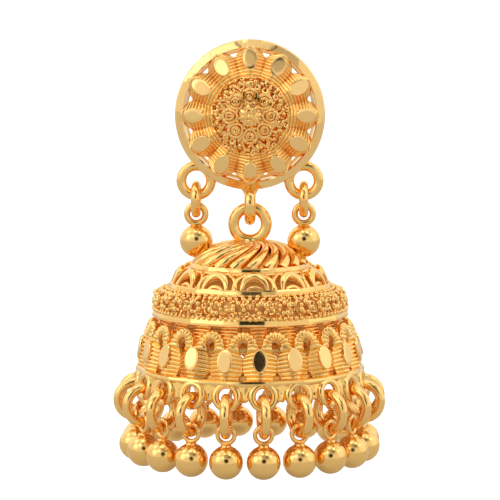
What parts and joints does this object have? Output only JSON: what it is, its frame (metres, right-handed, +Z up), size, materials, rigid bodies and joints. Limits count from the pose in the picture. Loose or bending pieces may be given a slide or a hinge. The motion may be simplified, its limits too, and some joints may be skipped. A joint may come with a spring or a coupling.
{
  "type": "jhumka earring",
  "caption": "Bell-shaped drop earring: a domed filigree stud with an ear post, a hollow filigree bell hanging free on a ring, and a fringe of round beads on jump rings.",
  "frame": {"origin": "centre of the stud's flat back, where the ear post leaves it and the lobe holds it", "axes": "+Z up as worn, -Y the front that is seen, +Y along the ear post into the ear, +X to the right seen from the front"},
  "size_m": [0.0242, 0.0242, 0.0371],
  "materials": {
    "polished_gold": "polished gold plate",
    "filigree_gold": "gold-plated filigree, bright diamond-cut flats on fine ribbed strands",
    "wire_gold": "gold-plated round wire, bright with faint drawing lines"
  },
  "bodies": {
    "stud": {"stud": "filigree_gold", "ear_post": "wire_gold", "side_link_left": "wire_gold", "side_drop_left": "polished_gold", "side_link_right": "wire_gold", "side_drop_right": "polished_gold"},
    "bell": {"bell": "filigree_gold", "jump_ring_01": "wire_gold", "jump_ring_02": "wire_gold", "jump_ring_03": "wire_gold", "jump_ring_04": "wire_gold", "jump_ring_05": "wire_gold", "jump_ring_06": "wire_gold", "jump_ring_07": "wire_gold", "jump_ring_08": "wire_gold", "jump_ring_09": "wire_gold", "jump_ring_10": "wire_gold", "jump_ring_11": "wire_gold", "jump_ring_12": "wire_gold", "jump_ring_13": "wire_gold", "jump_ring_14": "wire_gold", "jump_ring_15": "wire_gold", "jump_ring_16": "wire_gold", "jump_ring_17": "wire_gold", "jump_ring_18": "wire_gold", "jump_ring_19": "wire_gold", "jump_ring_20": "wire_gold", "drop_01": "polished_gold", "drop_02": "polished_gold", "drop_03": "polished_gold", "drop_04": "polished_gold", "drop_05": "polished_gold", "drop_06": "polished_gold", "drop_07": "polished_gold", "drop_08": "polished_gold", "drop_09": "polished_gold", "drop_10": "polished_gold", "drop_11": "polished_gold", "drop_12": "polished_gold", "drop_13": "polished_gold", "drop_14": "polished_gold", "drop_15": "polished_gold", "drop_16": "polished_gold", "drop_17": "polished_gold", "drop_18": "polished_gold", "drop_19": "polished_gold", "drop_20": "polished_gold"}
  },
  "joints": [
    {"name": "bell_swing", "type": "hinge", "parent": "stud", "child": "bell", "pos_m": [0, -0.0008, -0.00818], "axis": [1, 0, 0], "range_deg": [-75, 75]}
  ]
}
